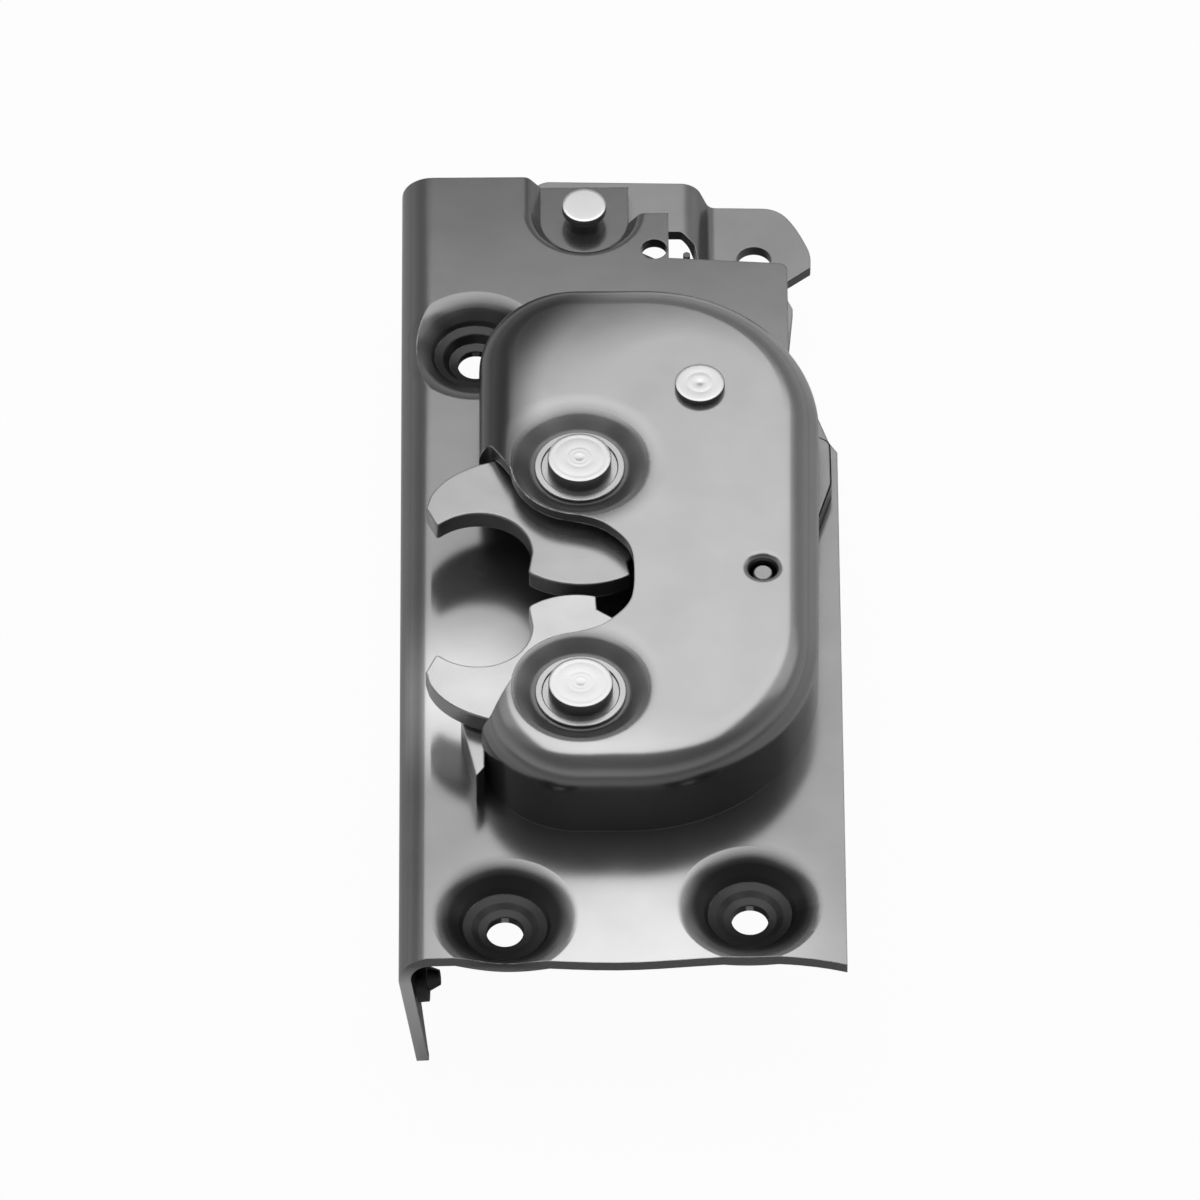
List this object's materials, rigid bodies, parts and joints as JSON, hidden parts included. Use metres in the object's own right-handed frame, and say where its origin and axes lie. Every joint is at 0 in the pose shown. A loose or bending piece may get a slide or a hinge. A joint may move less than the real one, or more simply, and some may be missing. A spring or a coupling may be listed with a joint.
{
  "type": "rotary door latch",
  "caption": "Twin fork bolt door latch: folded frame plate, domed fork housing with striker throat, stepped release lever, flange levers.",
  "frame": {"origin": "where the closed striker's axis, midway between the two fork pivots, meets the plate's outer mounting face", "axes": "+Z out of the mounting face towards the striker side, +Y along the latch towards the release lever, +X away from the flange"},
  "size_m": [0.08, 0.1914, 0.0482],
  "materials": {
    "black_zinc_sheet": "pressed steel sheet, dark satin zinc-black plating",
    "lever_sheet": "stamped steel, dark satin plating",
    "fork_steel": "case-hardened steel, grey satin plating",
    "arm_steel": "stamped steel, lightly pitted grey plating",
    "bright_rivet": "bright zinc, spun peened head",
    "bright_ring": "bright zinc ring",
    "turned_steel": "turned steel, bright zinc",
    "spring_wire": "dark drawn spring wire"
  },
  "bodies": {
    "body": {"frame_plate": "black_zinc_sheet", "fork_housing": "black_zinc_sheet", "upper_pivot_rivet": "bright_rivet", "lower_pivot_rivet": "bright_rivet", "upper_pivot_washer": "bright_ring", "lower_pivot_washer": "bright_ring", "upper_fork_bushing": "turned_steel", "lower_fork_bushing": "turned_steel", "upper_fork_spring": "spring_wire", "lower_fork_spring": "spring_wire", "detent_rivet": "bright_rivet", "detent_spacer": "turned_steel", "detent_spring": "spring_wire", "locating_post": "turned_steel", "release_lever_pin": "bright_rivet", "lever_pin_washer": "turned_steel", "inside_release_rivet": "turned_steel", "locking_rivet": "turned_steel"},
    "upper_fork": {"upper_fork_bolt": "fork_steel"},
    "lower_fork": {"lower_fork_bolt": "fork_steel"},
    "detent": {"detent_lever": "fork_steel", "detent_arm": "arm_steel"},
    "release_lever": {"outside_release_lever": "lever_sheet", "link_rivet": "turned_steel", "release_lever_spring": "spring_wire"},
    "link": {"release_link": "lever_sheet"},
    "inside_lever": {"inside_release_lever": "lever_sheet"},
    "lock_lever": {"locking_lever": "lever_sheet"}
  },
  "joints": [
    {"name": "upper_fork_swing", "type": "hinge", "parent": "body", "child": "upper_fork", "pos_m": [0, 0.0265, 0.011], "axis": [0, 0, 1], "range_deg": [0, 44], "stiffness_Nm_per_rad": 0.05, "springref_deg": -28.65},
    {"name": "lower_fork_swing", "type": "hinge", "parent": "body", "child": "lower_fork", "pos_m": [0, -0.0265, 0.011], "axis": [0, 0, 1], "range_deg": [-44, 0], "stiffness_Nm_per_rad": 0.05, "springref_deg": 28.65},
    {"name": "release_lever_swing", "type": "hinge", "parent": "body", "child": "release_lever", "pos_m": [0.0011, 0.1028, -0.0065], "axis": [0, 0, 1], "range_deg": [0, 12.25], "stiffness_Nm_per_rad": 0.2, "springref_deg": -17.19},
    {"name": "detent_swing", "type": "hinge", "parent": "body", "child": "detent", "pos_m": [0.022, 0.0439, 0.008], "axis": [0, 0, 1], "range_deg": [0, 9.2]},
    {"name": "link_swing", "type": "hinge", "parent": "release_lever", "child": "link", "pos_m": [0.0177, 0.0876, -0.0089], "axis": [0, 0, 1], "range_deg": [-14.6, 0]},
    {"name": "inside_lever_swing", "type": "hinge", "parent": "body", "child": "inside_lever", "pos_m": [-0.02842, 0.012, -0.01284], "axis": [0.9921, 0, 0.1253], "range_deg": [-10, 10]},
    {"name": "lock_lever_swing", "type": "hinge", "parent": "body", "child": "lock_lever", "pos_m": [-0.02842, -0.044, -0.01284], "axis": [0.9921, 0, 0.1253], "range_deg": [-6, 6]}
  ],
  "couplings": [
    {"joint": "detent_swing", "follows": "release_lever_swing", "ratio": 0.7347},
    {"joint": "link_swing", "follows": "release_lever_swing", "ratio": -1.1633}
  ]
}
